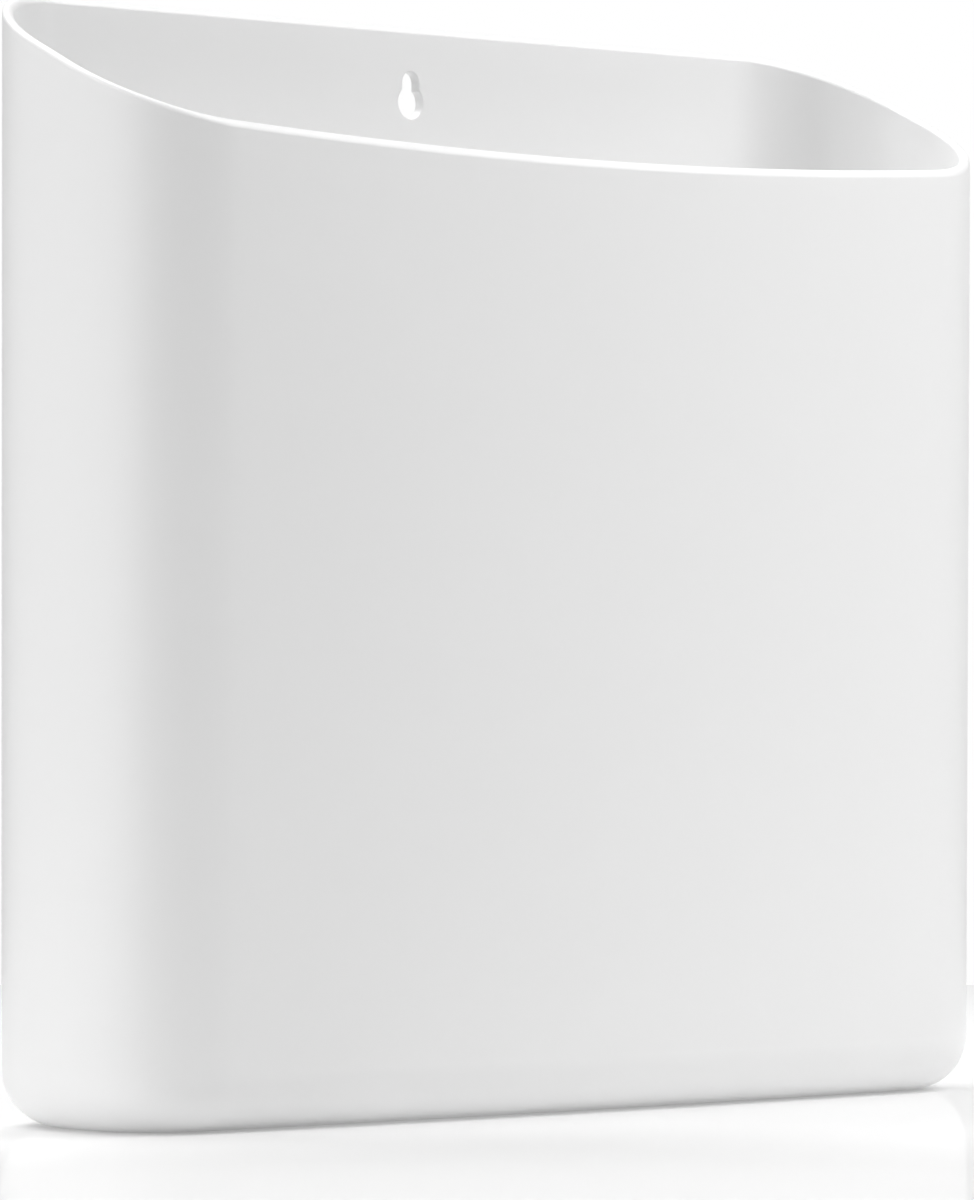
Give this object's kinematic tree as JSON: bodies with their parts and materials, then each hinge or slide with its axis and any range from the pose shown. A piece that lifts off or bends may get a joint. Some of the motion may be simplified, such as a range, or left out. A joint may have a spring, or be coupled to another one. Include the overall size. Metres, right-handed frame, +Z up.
{
  "type": "wall-mounted waste bin",
  "caption": "Slim open-top plastic waste bin with a high flat back, a keyhole for hanging on a screw, and a rim that slopes down to a bowed front.",
  "frame": {"origin": "middle of the base, on the floor", "axes": "+Z up, +Y towards the flat back that goes against a wall, -Y towards the bowed front, X across the width"},
  "size_m": [0.2944, 0.0778, 0.27],
  "materials": {
    "white_plastic": "fine satin, white throughout"
  },
  "bodies": {
    "root": {"bin_body": "white_plastic"}
  },
  "joints": []
}
